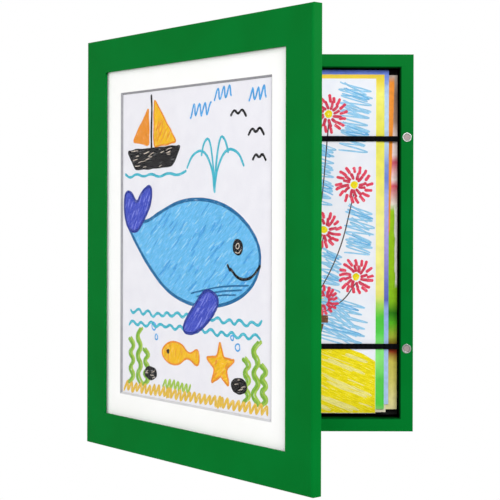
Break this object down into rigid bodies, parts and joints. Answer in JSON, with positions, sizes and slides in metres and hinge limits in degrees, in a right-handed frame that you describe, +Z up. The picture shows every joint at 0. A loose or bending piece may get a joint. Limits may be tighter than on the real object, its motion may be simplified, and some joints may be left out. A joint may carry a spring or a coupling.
{
  "type": "childrens art frame",
  "caption": "Green front-opening picture frame for drawings: a glazed, matted door hinged to a shallow storage box with elastic straps and magnetic catches.",
  "frame": {"origin": "centre of the back panel's back face, on the wall plane", "axes": "+X to the right seen from the front, +Y into the wall, +Z up as the frame hangs in portrait"},
  "size_m": [0.3013, 0.2651, 0.3682],
  "materials": {
    "green_paint": "satin green paint on fibreboard",
    "clear_acrylic": "clear polished sheet",
    "mat_board": "matt white mat board",
    "white_paper": "matt drawing paper",
    "coloured_paper": "matt paper covered with crayon and paint",
    "grey_board": "matt grey board",
    "black_board": "black hardboard",
    "black_elastic": "woven flat elastic",
    "zinc_steel": "zinc-plated steel",
    "nickel_steel": "nickel-plated steel",
    "magnet_alloy": "nickel-coated magnet",
    "brass_plate": "brass-plated steel"
  },
  "bodies": {
    "box": {"box_top_wall": "green_paint", "box_bottom_wall": "green_paint", "box_hinge_wall": "green_paint", "box_latch_wall": "green_paint", "back_panel": "black_board", "upper_magnet_cup": "nickel_steel", "upper_magnet_core": "magnet_alloy", "upper_strap": "black_elastic", "upper_hinge_box_leaf": "zinc_steel", "upper_hinge_pin": "zinc_steel", "upper_hinge_box_upper_screw": "zinc_steel", "upper_hinge_box_lower_screw": "zinc_steel", "lower_magnet_cup": "nickel_steel", "lower_magnet_core": "magnet_alloy", "lower_strap": "black_elastic", "lower_hinge_box_leaf": "zinc_steel", "lower_hinge_pin": "zinc_steel", "lower_hinge_box_upper_screw": "zinc_steel", "lower_hinge_box_lower_screw": "zinc_steel", "stored_drawing_1": "coloured_paper", "stored_drawing_2": "coloured_paper", "stored_drawing_3": "coloured_paper", "stored_drawing_4": "coloured_paper", "stored_drawing_5": "coloured_paper", "stored_paper_stack": "white_paper", "portrait_hanger": "brass_plate", "portrait_hanger_left_nail": "zinc_steel", "portrait_hanger_right_nail": "zinc_steel", "landscape_hanger": "brass_plate", "landscape_hanger_left_nail": "zinc_steel", "landscape_hanger_right_nail": "zinc_steel"},
    "door": {"door_hinge_stile": "green_paint", "door_top_rail": "green_paint", "door_free_stile": "green_paint", "door_bottom_rail": "green_paint", "glazing": "clear_acrylic", "mat": "mat_board", "display_sheet": "white_paper", "door_backing_board": "grey_board", "upper_strike_disc": "nickel_steel", "upper_hinge_door_leaf": "zinc_steel", "upper_hinge_door_upper_screw": "zinc_steel", "upper_hinge_door_lower_screw": "zinc_steel", "lower_strike_disc": "nickel_steel", "lower_hinge_door_leaf": "zinc_steel", "lower_hinge_door_upper_screw": "zinc_steel", "lower_hinge_door_lower_screw": "zinc_steel", "hinge_side_upper_tab_shank": "zinc_steel", "hinge_side_lower_tab_shank": "zinc_steel", "top_tab_shank": "zinc_steel", "bottom_tab_shank": "zinc_steel", "free_side_upper_tab_shank": "zinc_steel", "free_side_lower_tab_shank": "zinc_steel"},
    "hinge_side_upper_tab": {"hinge_side_upper_tab": "zinc_steel"},
    "hinge_side_lower_tab": {"hinge_side_lower_tab": "zinc_steel"},
    "top_tab": {"top_tab": "zinc_steel"},
    "bottom_tab": {"bottom_tab": "zinc_steel"},
    "free_side_upper_tab": {"free_side_upper_tab": "zinc_steel"},
    "free_side_lower_tab": {"free_side_lower_tab": "zinc_steel"}
  },
  "joints": [
    {"name": "door_hinge", "type": "hinge", "parent": "box", "child": "door", "pos_m": [-0.1466, -0.0283, 0], "axis": [0, 0, -1], "range_deg": [-50, 55]},
    {"name": "hinge_side_upper_tab_bend", "type": "hinge", "parent": "door", "child": "hinge_side_upper_tab", "pos_m": [-0.13569, -0.0448, 0.085], "axis": [0, 0, 1], "range_deg": [0, 90]},
    {"name": "hinge_side_lower_tab_bend", "type": "hinge", "parent": "door", "child": "hinge_side_lower_tab", "pos_m": [-0.13569, -0.0448, -0.085], "axis": [0, 0, 1], "range_deg": [0, 90]},
    {"name": "top_tab_bend", "type": "hinge", "parent": "door", "child": "top_tab", "pos_m": [-0.05409, -0.14205, 0.1587], "axis": [0.6428, -0.766, 0], "range_deg": [0, 90]},
    {"name": "bottom_tab_bend", "type": "hinge", "parent": "door", "child": "bottom_tab", "pos_m": [-0.05409, -0.14205, -0.1587], "axis": [-0.6428, 0.766, 0], "range_deg": [0, 90]},
    {"name": "free_side_upper_tab_bend", "type": "hinge", "parent": "door", "child": "free_side_upper_tab", "pos_m": [0.02751, -0.2393, 0.085], "axis": [0, 0, -1], "range_deg": [0, 90]},
    {"name": "free_side_lower_tab_bend", "type": "hinge", "parent": "door", "child": "free_side_lower_tab", "pos_m": [0.02751, -0.2393, -0.085], "axis": [0, 0, -1], "range_deg": [0, 90]}
  ]
}
